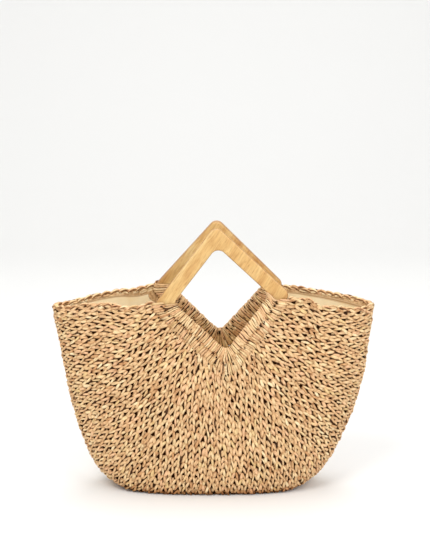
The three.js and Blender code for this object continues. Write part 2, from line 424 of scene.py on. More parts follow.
# ---------------------------------------------------------------- strand meshes
class Strands:
    """Flat fibre strands: rows of points with a side direction, an outward
    direction, half widths and heights, made into half round ribbons."""

    def __init__(self, name, arc=(-25, 205), sides=7, groove=0.22):
        self.name, self.arc, self.sides, self.groove = name, arc, sides, groove
        self.parts = []

    def add(self, centre, out, width, height, shade=0.0, tone=None, sides=None):
        sides = sides or self.sides
        centre = np.asarray(centre, float)
        n, s = centre.shape[:2]
        width = np.broadcast_to(width, (n, s))
        height = np.broadcast_to(height, (n, s))
        shade = np.broadcast_to(shade, (n, s))
        tone = rng.random(n) if tone is None else np.broadcast_to(tone, (n,))
        along = np.gradient(centre, axis=1)
        along /= np.linalg.norm(along, axis=-1)[..., None] + 1e-9
        side = np.cross(along, out)
        side /= np.linalg.norm(side, axis=-1)[..., None] + 1e-9
        up = np.cross(side, along)
        t = np.radians(np.linspace(*self.arc, sides))
        # a shallow groove where the fibres fold over each other
        groove = 1 - self.groove * np.exp(-(((np.cos(t) - 0.1) / 0.35) ** 2))
        p = (
            centre[:, :, None]
            + side[:, :, None] * (width[..., None] * np.cos(t))[..., None]
            + up[:, :, None] * (height[..., None] * (np.sin(t) * groove))[..., None]
        )
        p[..., 2] = np.maximum(p[..., 2], 0.12)
        run = np.linalg.norm(np.diff(centre, axis=1), axis=-1)
        run = np.concatenate([np.zeros((n, 1)), np.cumsum(run, 1)], 1)
        ident = rng.random(n)
        info = np.zeros((n, s, sides, 3))
        info[..., 0] = ident[:, None, None]
        info[..., 1] = np.linspace(-1, 1, sides)
        info[..., 2] = run[:, :, None]
        look = np.zeros((n, s, sides, 2))
        look[..., 0] = tone[:, None, None]
        look[..., 1] = shade[:, :, None]
        self.parts.append((p, info, look))

    def count(self):
        return sum(2 * p.shape[0] * (p.shape[1] - 1) * (p.shape[2] - 1) for p, _, _ in self.parts)

    def build(self, material):
        total = sum(p.shape[0] for p, _, _ in self.parts)
        cols = max(1, int(math.ceil(math.sqrt(total / 2.8))))
        rows = int(math.ceil(total / cols))
        verts, infos, looks, quads, uvs = [], [], [], [], []
        base, cell = 0, 0
        for p, info, look in self.parts:
            n, s, m = p.shape[:3]
            k = np.arange(n * s * m).reshape(n, s, m)
            q = np.stack([k[:, :-1, :-1], k[:, :-1, 1:], k[:, 1:, 1:], k[:, 1:, :-1]], -1).reshape(-1, 4)
            ids = np.arange(cell, cell + n)
            u = ((ids % cols)[:, None, None] + 0.04 + 0.92 * np.linspace(0, 1, s)[None, :, None]) / cols
            v = ((ids // cols)[:, None, None] + 0.06 + 0.88 * np.linspace(0, 1, m)[None, None, :]) / rows
            uv = np.stack(np.broadcast_arrays(u, v), -1).reshape(-1, 2)
            uvs.append(uv[q.reshape(-1)])
            verts.append(p.reshape(-1, 3))
            infos.append(info.reshape(-1, 3))
            looks.append(look.reshape(-1, 2))
            quads.append(q + base)
            base += n * s * m
            cell += n
        o = mesh_object(self.name, np.concatenate(verts), np.concatenate(quads), material)
        me = o.data
        a = me.attributes.new("strand", "FLOAT_VECTOR", "POINT")
        a.data.foreach_set("vector", np.concatenate(infos).astype(np.float32).ravel())
        lk = np.concatenate(looks).astype(np.float32)
        for i, nm in enumerate(("tone", "shade")):
            a = me.attributes.new(nm, "FLOAT", "POINT")
            a.data.foreach_set("value", np.ascontiguousarray(lk[:, i]))
        layer = me.uv_layers.new(name="OFBake")
        layer.data.foreach_set("uv", np.concatenate(uvs).astype(np.float32).ravel())
        return o


def mesh_object(name, verts, quads, material, smooth=True):
    me = bpy.data.meshes.new(name)
    quads = np.asarray(quads)
    me.vertices.add(len(verts))
    me.vertices.foreach_set("co", (np.asarray(verts) * MM).astype(np.float32).ravel())
    me.loops.add(quads.size)
    me.loops.foreach_set("vertex_index", quads.astype(np.int32).ravel())
    me.polygons.add(len(quads))
    me.polygons.foreach_set("loop_start", np.arange(0, quads.size, quads.shape[1], dtype=np.int32))
    me.polygons.foreach_set("loop_total", np.full(len(quads), quads.shape[1], dtype=np.int32))
    me.update(calc_edges=True)
    me.validate()
    me.polygons.foreach_set("use_smooth", np.full(len(me.polygons), smooth))
    me.materials.append(material)
    o = bpy.data.objects.new(name, me)
    bpy.context.scene.collection.objects.link(o)
    return o


# ---------------------------------------------------------------- materials
def new_material(name):
    m = bpy.data.materials.new(name)
    m.use_nodes = True
    nt = m.node_tree
    nt.nodes.clear()
    out = nt.nodes.new("ShaderNodeOutputMaterial")
    bsdf = nt.nodes.new("ShaderNodeBsdfPrincipled")
    nt.links.new(bsdf.outputs[0], out.inputs[0])
    return m, nt, bsdf


def node(nt, kind, **props):
    n = nt.nodes.new(kind)
    for k, v in props.items():
        setattr(n, k, v)
    return n


def ramp(nt, stops, source):
    r = node(nt, "ShaderNodeValToRGB")
    els = r.color_ramp.elements
    while len(els) < len(stops):
        els.new(0.5)
    for el, (pos, col) in zip(els, stops):
        el.position = pos
        el.color = (*col, 1)
    nt.links.new(source, r.inputs[0])
    return r.outputs[0]


def mix(nt, fac, a, b, blend="MIX"):
    n = node(nt, "ShaderNodeMix", data_type="RGBA", blend_type=blend)
    for sock, val in ((n.inputs[0], fac), (n.inputs[6], a), (n.inputs[7], b)):
        if hasattr(val, "is_output") or isinstance(val, bpy.types.NodeSocket):
            nt.links.new(val, sock)
        else:
            sock.default_value = val if not isinstance(val, tuple) or len(val) == 4 else (*val, 1)
    return n.outputs[2]


def maths(nt, op, a, b=None, clamp=False):
    n = node(nt, "ShaderNodeMath", operation=op, use_clamp=clamp)
    for sock, val in ((n.inputs[0], a), (n.inputs[1], b)):
        if val is None:
            continue
        if isinstance(val, bpy.types.NodeSocket):
            nt.links.new(val, sock)
        else:
            sock.default_value = val
    return n.outputs[0]


def srgb(r, g, b):
    return tuple(((c / 255 + 0.055) / 1.055) ** 2.4 if c / 255 > 0.04045 else c / 255 / 12.92 for c in (r, g, b))


def straw_material(name, painted_shade_dark=0.0):
    """Dried flat fibre: every strand has its own tone, with fine lines along it. The shade attribute and the strand
    edges add painted shade.
    """
    m, nt, bsdf = new_material(name)
    info = node(nt, "ShaderNodeAttribute", attribute_name="strand").outputs["Vector"]
    tone = node(nt, "ShaderNodeAttribute", attribute_name="tone").outputs["Fac"]
    shade = node(nt, "ShaderNodeAttribute", attribute_name="shade").outputs["Fac"]
    sep = node(nt, "ShaderNodeSeparateXYZ")
    nt.links.new(info, sep.inputs[0])
    comb = node(nt, "ShaderNodeCombineXYZ")
    nt.links.new(maths(nt, "MULTIPLY", sep.outputs[0], 310.0), comb.inputs[0])
    nt.links.new(maths(nt, "MULTIPLY", sep.outputs[1], 3.4), comb.inputs[1])
    nt.links.new(maths(nt, "MULTIPLY", sep.outputs[2], 0.10), comb.inputs[2])
    fibre = node(nt, "ShaderNodeTexNoise")
    fibre.inputs["Scale"].default_value = 1.0
    fibre.inputs["Detail"].default_value = 4.0
    fibre.inputs["Roughness"].default_value = 0.65
    nt.links.new(comb.outputs[0], fibre.inputs["Vector"])
    comb2 = node(nt, "ShaderNodeCombineXYZ")
    nt.links.new(maths(nt, "MULTIPLY", sep.outputs[0], 170.0), comb2.inputs[0])
    nt.links.new(maths(nt, "MULTIPLY", sep.outputs[1], 0.5), comb2.inputs[1])
    nt.links.new(maths(nt, "MULTIPLY", sep.outputs[2], 0.22), comb2.inputs[2])
    blotch = node(nt, "ShaderNodeTexNoise")
    blotch.inputs["Scale"].default_value = 1.0
    blotch.inputs["Detail"].default_value = 2.0
    nt.links.new(comb2.outputs[0], blotch.inputs["Vector"])
    base = ramp(
        nt,
        [
            (0.0, srgb(200, 152, 105)),
            (0.14, srgb(211, 169, 122)),
            (0.30, srgb(228, 196, 150)),
            (0.44, srgb(221, 180, 135)),
            (0.58, srgb(235, 208, 162)),
            (0.70, srgb(230, 187, 146)),
            (0.80, srgb(226, 195, 141)),
            (0.90, srgb(239, 215, 172)),
            (1.0, srgb(244, 222, 181)),
        ],
        tone,
    )
    lines = ramp(nt, [(0.30, (0.44, 0.34, 0.25)), (0.5, (0.92, 0.89, 0.84)), (0.70, (1.12, 1.11, 1.08))], fibre.outputs["Fac"])
    col = mix(nt, 0.85, base, lines, "MULTIPLY")
    spots = ramp(nt, [(0.32, (0.62, 0.50, 0.40)), (0.46, (1, 1, 1)), (0.62, (1, 1, 1)), (0.8, (1.10, 1.10, 1.06))], blotch.outputs["Fac"])
    col = mix(nt, 0.8, col, spots, "MULTIPLY")
    # painted shade: the shade attribute darkens towards brown and near-black at strand ends, in the gaps and near the
    # floor
    painted_shade_ramp = ramp(nt, [(0.0, (1, 1, 1)), (0.45, (0.60, 0.43, 0.29)), (0.8, (0.17, 0.085, 0.045)), (1.0, (0.03, 0.015, 0.008))], shade)
    col = mix(nt, 1.0, col, painted_shade_ramp, "MULTIPLY")
    # painted shade along both edges of every strand, with a painted highlight along its middle
    rim = maths(nt, "ABSOLUTE", sep.outputs[1])
    rim = ramp(nt, [(0.34, (1.10, 1.10, 1.10)), (0.58, (0.82, 0.73, 0.63)), (0.78, (0.38, 0.235, 0.14))], rim)
    col = mix(nt, 1.0, col, rim, "MULTIPLY")
    # painted shade: darkens the whole material towards brown
    if painted_shade_dark:
        col = mix(nt, painted_shade_dark, col, srgb(120, 70, 42), "MULTIPLY")
    nt.links.new(col, bsdf.inputs["Base Color"])
    rough = maths(nt, "MULTIPLY_ADD", fibre.outputs["Fac"], 0.3)
    rough.node.inputs[2].default_value = 0.42
    nt.links.new(rough, bsdf.inputs["Roughness"])
    bump = node(nt, "ShaderNodeBump")
    bump.inputs["Strength"].default_value = 0.8
    bump.inputs["Distance"].default_value = 0.0006
    nt.links.new(fibre.outputs["Fac"], bump.inputs["Height"])
    nt.links.new(bump.outputs[0], bsdf.inputs["Normal"])
    # no specular reflection where shade is painted in
    lit = maths(nt, "SUBTRACT", 1.0, shade, clamp=True)
    nt.links.new(maths(nt, "MULTIPLY", lit, 0.42), bsdf.inputs["Specular IOR Level"])
    return m


def backing_and_shade_material():
    m, nt, bsdf = new_material("straw_backing_and_shade")
    tc = node(nt, "ShaderNodeTexCoord").outputs["Object"]
    n = node(nt, "ShaderNodeTexNoise")
    n.inputs["Scale"].default_value = 320.0
    n.inputs["Detail"].default_value = 3.0
    nt.links.new(tc, n.inputs["Vector"])
    side = node(nt, "ShaderNodeAttribute", attribute_name="inside").outputs["Fac"]
    # painted shade: the outer skin behind the stitches is near-black brown; the inside skin has the straw's own colour
    painted_shade_dark = ramp(nt, [(0.35, srgb(66, 38, 21)), (0.7, srgb(122, 80, 48))], n.outputs["Fac"])
    light = ramp(nt, [(0.35, srgb(176, 134, 88)), (0.7, srgb(232, 196, 146))], n.outputs["Fac"])
    nt.links.new(mix(nt, side, painted_shade_dark, light), bsdf.inputs["Base Color"])
    r = maths(nt, "MULTIPLY_ADD", n.outputs["Fac"], 0.2)
    r.node.inputs[2].default_value = 0.7
    nt.links.new(r, bsdf.inputs["Roughness"])
    bump = node(nt, "ShaderNodeBump")
    bump.inputs["Strength"].default_value = 0.7
    bump.inputs["Distance"].default_value = 0.0008
    nt.links.new(n.outputs["Fac"], bump.inputs["Height"])
    nt.links.new(bump.outputs[0], bsdf.inputs["Normal"])
    return m


def wood_material():
    """Pale varnished wood, cut from one board: the grain runs along the left bar."""
    m, nt, bsdf = new_material("frame_wood")
    tc = node(nt, "ShaderNodeTexCoord").outputs["Object"]

    def dot(axis):
        n = node(nt, "ShaderNodeVectorMath", operation="DOT_PRODUCT")
        nt.links.new(tc, n.inputs[0])
        n.inputs[1].default_value = axis
        return n.outputs["Value"]

    lean = math.radians(56)
    along = dot((math.cos(lean), 0, math.sin(lean)))
    across = dot((-math.sin(lean), 0, math.cos(lean)))
    depth = dot((0, 1, 0))

    def grain(scale, detail, rough):
        c = node(nt, "ShaderNodeCombineXYZ")
        for i, (v, k) in enumerate(zip((along, across, depth), scale)):
            nt.links.new(maths(nt, "MULTIPLY", v, k), c.inputs[i])
        n = node(nt, "ShaderNodeTexNoise")
        n.inputs["Scale"].default_value = 1.0
        n.inputs["Detail"].default_value = detail
        n.inputs["Roughness"].default_value = rough
        nt.links.new(c.outputs[0], n.inputs["Vector"])
        return n.outputs["Fac"]

    fine = grain((70.0, 620.0, 300.0), 3.0, 0.6)
    broad = grain((14.0, 75.0, 60.0), 3.0, 0.5)
    fleck = grain((95.0, 480.0, 300.0), 1.0, 0.4)
    col = ramp(nt, [(0.28, srgb(189, 139, 81)), (0.45, srgb(209, 167, 105)), (0.6, srgb(219, 183, 123)), (0.78, srgb(229, 202, 146))], broad)
    lines = ramp(nt, [(0.32, (0.76, 0.64, 0.52)), (0.5, (0.97, 0.95, 0.92)), (0.66, (1.08, 1.09, 1.08))], fine)
    col = mix(nt, 0.8, col, lines, "MULTIPLY")
    pores = ramp(nt, [(0.24, (0.66, 0.48, 0.34)), (0.36, (1, 1, 1))], fleck)
    col = mix(nt, 0.6, col, pores, "MULTIPLY")
    # painted light fall: the wood is lighter at the left and darker, more orange at the right
    place = maths(nt, "MULTIPLY_ADD", dot((1, 0, 0)), 5.0)
    place.node.inputs[2].default_value = 0.4
    painted_light_fall = ramp(nt, [(0.1, (1.0, 1.015, 1.03)), (0.8, (0.975, 0.945, 0.905))], place)
    col = mix(nt, 1.0, col, painted_light_fall, "MULTIPLY")
    # painted shade on the rounded edges of the bars
    side = node(nt, "ShaderNodeAttribute", attribute_name="side").outputs["Fac"]
    col = mix(nt, maths(nt, "MULTIPLY", side, 0.75), col, mix(nt, 1.0, col, (0.60, 0.46, 0.34), "MULTIPLY"))
    nt.links.new(col, bsdf.inputs["Base Color"])
    r = maths(nt, "MULTIPLY_ADD", fine, 0.22)
    r.node.inputs[2].default_value = 0.3
    nt.links.new(r, bsdf.inputs["Roughness"])
    bump = node(nt, "ShaderNodeBump")
    bump.inputs["Strength"].default_value = 0.12
    bump.inputs["Distance"].default_value = 0.0003
    nt.links.new(fine, bump.inputs["Height"])
    nt.links.new(bump.outputs[0], bsdf.inputs["Normal"])
    bsdf.inputs["Specular IOR Level"].default_value = 0.45
    bsdf.inputs["Coat Weight"].default_value = 0.12
    bsdf.inputs["Coat Roughness"].default_value = 0.25
    return m


def cloth_material():
    """Plain woven beige cotton."""
    m, nt, bsdf = new_material("lining_cloth")
    tc = node(nt, "ShaderNodeTexCoord").outputs["Object"]
    waves = []
    for direction in ("X", "Z"):
        w = node(nt, "ShaderNodeTexWave", wave_type="BANDS", bands_direction=direction)
        w.inputs["Scale"].default_value = 380.0
        w.inputs["Distortion"].default_value = 0.6
        w.inputs["Detail"].default_value = 1.0
        nt.links.new(tc, w.inputs["Vector"])
        waves.append(w.outputs["Fac"])
    weave = maths(nt, "MULTIPLY", waves[0], waves[1])
    n = node(nt, "ShaderNodeTexNoise")
    n.inputs["Scale"].default_value = 60.0
    n.inputs["Detail"].default_value = 4.0
    nt.links.new(tc, n.inputs["Vector"])
    col = ramp(nt, [(0.3, srgb(246, 224, 180)), (0.7, srgb(253, 238, 202))], n.outputs["Fac"])
    # darker brown band along the top edge of the lining
    top_edge_band = node(nt, "ShaderNodeAttribute", attribute_name="top_edge_band").outputs["Fac"]
    col = mix(nt, maths(nt, "MULTIPLY", weave, 0.12), col, srgb(206, 172, 124), "MIX")
    col = mix(nt, top_edge_band, col, srgb(176, 134, 88), "MIX")
    nt.links.new(col, bsdf.inputs["Base Color"])
    r = maths(nt, "MULTIPLY_ADD", n.outputs["Fac"], 0.1)
    r.node.inputs[2].default_value = 0.82
    nt.links.new(r, bsdf.inputs["Roughness"])
    bump = node(nt, "ShaderNodeBump")
    bump.inputs["Strength"].default_value = 0.35
    bump.inputs["Distance"].default_value = 0.0003
    nt.links.new(weave, bump.inputs["Height"])
    nt.links.new(bump.outputs[0], bsdf.inputs["Normal"])
    bsdf.inputs["Sheen Weight"].default_value = 0.2
    return m


straw = straw_material("straw_strands")
straw_deep = straw_material("straw_wrap_strands")
backing_and_shade = backing_and_shade_material()
# the tube under the wraps takes the same painted-shade colour
shade_bed = backing_and_shade
wood = wood_material()
cloth = cloth_material()

fields = {side: straw_field(side) for side in ("front", "back")}


# ---------------------------------------------------------------- crochet
# one stitch: strands in a cell one stitch wide (u) and one row high (v)
STRANDS = [
    dict(u0=0.46, v0=-0.33, u1=0.12, v1=0.96, swing=-0.07, wide=1.80, high=1.6, lift=2.0, level=-0.4, shade=0.0, steps=8, sides=7),
    dict(u0=0.54, v0=-0.33, u1=0.88, v1=0.96, swing=0.07, wide=1.80, high=1.6, lift=2.0, level=-0.4, shade=0.0, steps=8, sides=7),
    dict(u0=0.50, v0=0.80, u1=0.50, v1=1.58, swing=0.0, wide=1.5, high=1.2, lift=1.0, level=-0.6, shade=0.0, steps=6, sides=6),
    # near-black ribbon in the gap of each stitch: painted shade
    dict(u0=0.50, v0=0.26, u1=0.50, v1=0.80, swing=0.0, wide=1.9, high=0.35, lift=0.3, level=0.75, shade=1.0, steps=5, sides=4),
]


def crochet(side, pieces):
    field = fields[side]
    length = field["length"]
    k, start, high_row = 0, FIRST_ROW, ROW_HIGH
    while start < length.max() - 2:
        # rows and stitches get finer away from the wrapped bar
        finer = 1 - 0.05 * float(ease((start - 60) / 110))
        high_row = ROW_HIGH * finer
        s_mid = np.minimum(0.5 * high_row + start, length)
        line, _ = on_field(field, E, s_mid, 0.0)
        d = np.r_[0, np.cumsum(np.linalg.norm(np.diff(line, axis=0), axis=1))]
        n = max(6, int(round(d[-1] / (STITCH_WIDE * finer))))
        shift = 0.5 * (k % 2)
        cells = np.arange(-1, n + 1)
        c = len(cells)
        # the whole stitch sits a little off its place
        off_u, off_v = rng.normal(0, 0.05, (c, 1)), rng.normal(0, 0.06, (c, 1))
        for st in STRANDS:
            t = np.linspace(0, 1, st["steps"])
            j = lambda a: rng.normal(0, a, (c, 1))
            shade_hole = st["shade"] > 0.9
            r = 0.5 if shade_hole else 1.0
            u0, u1 = st["u0"] + off_u + j(0.05) * r, st["u1"] + off_u + j(0.075) * r
            v0, v1 = st["v0"] + off_v + j(0.06) * r, st["v1"] + off_v + j(0.07) * r
            u = u0 + (u1 - u0) * t + (st["swing"] + j(0.05) * r) * np.sin(np.pi * t)
            v = v0 + (v1 - v0) * t
            at = (cells[:, None] + shift + u) / n
            e = np.interp(at, d / d[-1], E)
            s = v * high_row + start
            lim = np.interp(e, E, length)
            e_mid = np.interp((cells + shift + 0.5) / n, d / d[-1], E)
            room = np.interp(e_mid, E, length) - start
            ok = (room > 0.3 * high_row) & (at.mean(1) > -0.2 / n) & (at.mean(1) < 1 + 0.2 / n)
            if shade_hole:
                # fewer near-black gap strands, painted shade, near the rim
                ok &= rng.random(c) < np.where(np.minimum(e_mid, 1 - e_mid) < 0.04, 0.5, 0.97)
            bow = np.sin(np.pi * np.clip(t * 0.94 + 0.04, 0, 1))
            fat = bow**0.5
            wide = st["wide"] * finer * np.clip(1 + j(0.17), 0.6, 1.5) * (0.5 + 0.54 * fat)
            high = st["high"] * np.clip(1 + j(0.15), 0.6, 1.4) * (0.5 + 0.54 * fat)
            w = -2.1 + st["level"] + j(0.3) + (st["lift"] + j(0.3)) * bow**0.75
            s = np.minimum(s, lim)
            p, nrm = on_field(field, e, s, w)
            # painted shade where the straw turns under at the floor
            under = 0.85 * np.clip(1 - p[..., 2] / 10.5, 0, 1)
            # and more uneven there
            if not shade_hole:
                p = p + nrm * ((0.5 + j(0.9)) * ease((14 - p[..., 2]) / 12))[..., None]
            # painted shade at the thin ends of the legs, added to the floor shade
            shade = np.clip(st["shade"] + (0 if shade_hole else 0.58) * (1 - fat) ** 1.3 + under, 0, 1)
            tone = np.clip(rng.normal(0.5, 0.21, c), 0, 1)
            x_mid = p[:, st["steps"] // 2, 0]
            for half, pick in (("left", x_mid < 0), ("right", x_mid >= 0)):
                sel = ok & pick
                if sel.any():
                    pieces[f"straw_{side}_{half}"].add(
                        p[sel], nrm[sel], wide[sel], high[sel], shade[sel], tone[sel], st["sides"]
                    )
        start += high_row
        k += 1


pieces = {f"straw_{s}_{h}": Strands(f"straw_{s}_{h}") for s in ("front", "back") for h in ("left", "right")}
for side in ("front", "back"):
    crochet(side, pieces)


# ---------------------------------------------------------------- edges
def chain(set_, path, out, pitch, wide, spread_, lift, steps=9, rise=1.3, rough=1.0, lag=0.25, reach=1.45, light=0.0):
    """A chain of two legged stitches along a path with outward directions. The ends of the legs get painted shade, and
    light lifts the strands' tone.
    """
    fine, total = resample(np.concatenate([path, out], 1), 600)
    n = max(2, int(round(total / pitch)))
    t = np.linspace(0, 1, steps)
    grid = np.linspace(0, 1, 600)
    for sign in (-1, 1):
        j = lambda a: rng.normal(0, a, (n, 1)) * rough
        at = (np.arange(n)[:, None] + lag * (sign > 0) - 0.3 + j(0.08) + reach * t) / n
        q = np.stack([np.interp(at, grid, fine[:, c]) for c in range(6)], -1)
        p, o = q[..., :3], q[..., 3:]
        o /= np.linalg.norm(o, axis=-1)[..., None]
        along = np.gradient(p, axis=1)
        along /= np.linalg.norm(along, axis=-1)[..., None] + 1e-9
        cross = np.cross(along, o)
        bow = np.sin(np.pi * np.clip(t * 0.96 + 0.02, 0, 1)) ** 0.7
        # each leg crosses from one side of the chain to the other
        off = sign * (spread_ + j(0.3)) * (1.6 * t - 0.6)
        w = lift + (rise + j(0.35)) * bow - 1.0 + j(0.25)
        fat = 0.55 + 0.5 * bow
        # painted shade at the ends of each leg
        set_.add(p + cross * off[..., None] + o * w[..., None], o, wide * fat * (1 + j(0.14)), wide * 0.8 * fat,
                 0.5 * (1 - bow) ** 1.5 + 0 * w, np.clip(rng.normal(0.55 + light, 0.25, n), 0, 1))


edge = Strands("straw_rim_chain")
seam = Strands("straw_seam_chain")


def rim_path(side, sign, inset=2.6):
    """The rim line of one side, from the handle out to the end of the mouth."""
    fld = fields[side]
    i = 0 if sign < 0 else NE - 1
    return fld["grid"][i] - fld["nrm"][i] * inset, fld["nrm"][i]


for side in ("front", "back"):
    for sign in (-1, 1):
        p, nr = rim_path(side, sign)
        up = np.zeros_like(p) + np.array([0, 0, 1.0])
        chain(edge, p, up, 11.0, 2.1, 1.9, -1.9, rise=3.9, rough=1.3, lag=0.1, reach=1.3, light=0.1)
        # the straw just inside the mouth, down to the lining
        for drop in ((2.8, 5.4) if side == "front" or sign < 0 else (2.6,)):
            q = p - nr * 1.4 - np.array([0, 0, drop])
            # light=0.25 lifts these ropes' tone as painted light against the shade inside the mouth
            chain(edge, q, -nr, 9.4, 1.5, 1.2, -0.5, rise=1.0, light=0.25)

left = outline_half(-1, 2.0)
right = outline_half(1, 2.0)[::-1]
loop = np.r_[left, right[1:]]
seam_path = np.stack([loop[:, 0], 0 * loop[:, 0], loop[:, 1]], -1)
tang = np.gradient(seam_path, axis=0)
seam_out = np.stack([tang[:, 2], 0 * tang[:, 0], -tang[:, 0]], -1)
seam_out /= np.linalg.norm(seam_out, axis=1)[:, None]
seam_out *= np.sign(np.einsum("ij,ij->i", seam_out, seam_path - [0, 0, 120]).mean())
chain(seam, seam_path, seam_out, 9.0, 1.8, 1.9, -1.5, rise=1.6)

# ---------------------------------------------------------------- wraps
PITCH = 2.95
TILT = {"front": (1.0, 10.5), "back": (1.5, 2.5)}  # how far the topmost strands run down outwards
TOP = {"front": (1.6, 1.6), "back": (6.5, -3.0)}  # where the wraps end, left and right, above the side corners


def bar_paths(side):
    """Facing places along the outer and the inner edge of the wrapped half."""
    low = facing_places(0.0)
    # carried on above the side corners
    high = [np.r_[e[600:0:-1] * (1, -1), e, e[-2:-601:-1] * (1, -1)] for e in low]
    both, _ = resample(np.concatenate(high, 1), 2400)
    outer, inner = both[:, :2], both[:, 2:]
    mid = 0.5 * (outer + inner)
    d = np.r_[0, np.cumsum(np.linalg.norm(np.diff(mid, axis=0), axis=1))]
    first = np.argmax(mid[:, 1] < TOP[side][0])
    last = len(mid) - 1 - np.argmax(mid[::-1, 1] < TOP[side][1])
    return outer, inner, d, d[first], d[last]


def turn_round(side, at, a, off, paths):
    """Points of turns about the bar; at is the place along it, a the angle."""
    outer, inner, d, lo, hi = paths
    t0, t1 = TILT[side]
    lead = t0 * np.exp(-(at - lo) / 32) - t1 * np.exp(-(hi - at) / 32)
    o = np.stack([np.interp(at + 0.5 * lead, d, outer[:, c]) for c in range(2)], -1)
    i = np.stack([np.interp(at - 0.5 * lead, d, inner[:, c]) for c in range(2)], -1)
    ca, sa = np.cos(a), np.sin(a)
    rr = (np.abs(ca) ** 5 + np.abs(sa) ** 5) ** (-0.2)
    across = 0.5 + 0.5 * ca * rr
    span = np.linalg.norm(o - i, axis=-1)
    unit = (o - i) / span[..., None]
    pos = i + (o - i) * across[..., None] + unit * (ca * rr * off)[..., None]
    p = frame_point(side, pos[..., 0], pos[..., 1], sa * rr * (BAR_THICK / 2 + off))
    m = 0.5 * (o + i)
    out = p - frame_point(side, m[..., 0], m[..., 1], 0.0)
    out /= np.linalg.norm(out, axis=-1)[..., None]
    return p, out, across


def wrap(side):
    """Strands bound round the lower half of a frame: each comes round the inner
    edge, crosses the face and runs on into the body."""
    st = Strands(f"wrap_{side}_strands", arc=(-30, 210), groove=0.25)
    paths = bar_paths(side)
    outer, inner, d, lo, hi = paths
    field = fields[side]
    n = int(round((hi - lo) / PITCH))
    at = np.linspace(lo + 0.8, hi - 0.8, n)[:, None] + rng.normal(0, 0.35, (n, 1))
    # where each strand leaves the bar, as a place on the body's lines
    t0, t1 = TILT[side]
    lead = t0 * np.exp(-(at - lo) / 32) - t1 * np.exp(-(hi - at) / 32)
    leave = np.concatenate([np.interp(at + 0.5 * lead, d, outer[:, c]) for c in range(2)], 1)
    apart = ((leave[:, None] - field["at_v"][None]) ** 2).sum(-1)
    e0 = E[np.argmin(apart, axis=1)][:, None]
    # above the rim the strands go right round the bar
    free = (np.sqrt(apart.min(1)) > 4.0) & (side == "back")
    a = np.radians(np.linspace(275, 78, 17)) * np.ones((n, 1))
    if free.any():
        m = int(free.sum())
        ring_a = np.radians(np.linspace(278, -92, 30)) * np.ones((m, 1))
        q, out, _ = turn_round(side, at[free] + rng.normal(0, 0.4, (m, 1)) * np.sin(ring_a), ring_a, 1.3 + 0 * ring_a, paths)
        broad = np.clip(np.linalg.norm(np.gradient(q, axis=0), axis=-1) * 0.5, 0.8, 2.3) if m > 1 else 1.5 + 0 * ring_a
        st.add(q, out, broad, 1.4 + 0 * broad, 0 * broad, np.clip(rng.normal(0.72, 0.22, m), 0, 1))
    keep = ~free
    n, at, e0, a = int(keep.sum()), at[keep], e0[keep], a[keep]
    sway = rng.normal(0, 0.4, (n, 1)) * np.sin(a) + rng.normal(0, 0.35, (n, 1)) * np.cos(2 * a)
    off = 1.35 + rng.normal(0, 0.22, (n, 1)) + 0 * a
    first, out1, _ = turn_round(side, at + sway, a, off, paths)
    tone = lambda m: np.clip(rng.normal(0.6, 0.22, m), 0, 1)

    def laid(e, start, end, level, steps):
        """A course of strands over the face, from one distance to another."""
        m = len(e)
        run = np.linspace(start, end, steps) + rng.normal(0, 1.5, (m, 1)) * np.linspace(1, 0, steps) + rng.normal(0, 1.5, (m, 1)) * np.linspace(0, 1, steps)
        t = np.linspace(0, 1, steps)
        w = level + rng.normal(0, 0.15, (m, 1)) - 1.1 * t**3
        e = np.clip(e + rng.normal(0, 0.0012, (m, 1)) + rng.normal(0, 0.0014, (m, 1)) * t, 0, 1)
        return on_field(field, e, run, w)

    def breadth(p, share):
        step = np.linalg.norm(np.gradient(p, axis=0), axis=-1)
        step = np.stack([np.convolve(np.pad(c, 3, "edge"), np.ones(7) / 7, "valid") for c in step.T], -1)
        return np.clip(step * share, 0.7, 2.3) * np.clip(1 + rng.normal(0, 0.12, (len(p), 1)), 0.75, 1.35)

    # from the back round the inner edge and half way across the face
    second, out2 = laid(e0, -14.5, -8.2, -0.75, 4)
    p, o = np.concatenate([first[:, :-3], second], 1), np.concatenate([out1[:, :-3], out2], 1)
    for _ in range(2):
        p[:, 1:-1] = 0.25 * p[:, :-2] + 0.5 * p[:, 1:-1] + 0.25 * p[:, 2:]
        o[:, 1:-1] = 0.25 * o[:, :-2] + 0.5 * o[:, 1:-1] + 0.25 * o[:, 2:]
    o /= np.linalg.norm(o, axis=-1)[..., None]
    wide = breadth(p, 0.49)
    wide[:, -2:] *= (0.85, 0.5)
    # painted shade: a little everywhere, more at the tucked-in ends, and more on the face left of x = 12
    shade = np.zeros_like(wide) + 0.03
    face = p[..., 1] * FRAMES[side]["sign"] > 34
    shade += np.where(face & (p[..., 0] < 12), 0.09, 0)
    shade[:, -2:] = (0.13, 0.42)
    st.add(p, o, wide, 1.4 + rng.normal(0, 0.15, (n, 1)) + 0 * wide, shade, tone(n))
    # and on from there over the outer edge into the body
    v3 = frame_point(side, field["at_v"][:, 0], field["at_v"][:, 1], 0.0)
    dv = np.r_[0, np.cumsum(np.linalg.norm(np.diff(v3, axis=0), axis=1))]
    m = int(round(dv[-1] / (PITCH + 0.25)))
    e2 = np.interp((np.arange(m)[:, None] + 0.5 + rng.normal(0, 0.08, (m, 1))) / m, dv / dv[-1], E)
    p, o = laid(e2, -10.5, 4.6, -0.7, 8)
    wide = breadth(p, 0.49) * (0.5, 0.88, 1.0, 1.0, 1.0, 0.98, 0.85, 0.5)
    # painted shade at both ends of each strand, and more left of x = 12
    shade = np.zeros_like(wide) + (0.4, 0.1, 0.03, 0.03, 0.03, 0.05, 0.12, 0.4) + np.where(p[..., 0] < 12, 0.09, 0)
    st.add(p, o, wide, 1.4 + rng.normal(0, 0.15, (m, 1)) + 0 * wide, shade, tone(m))
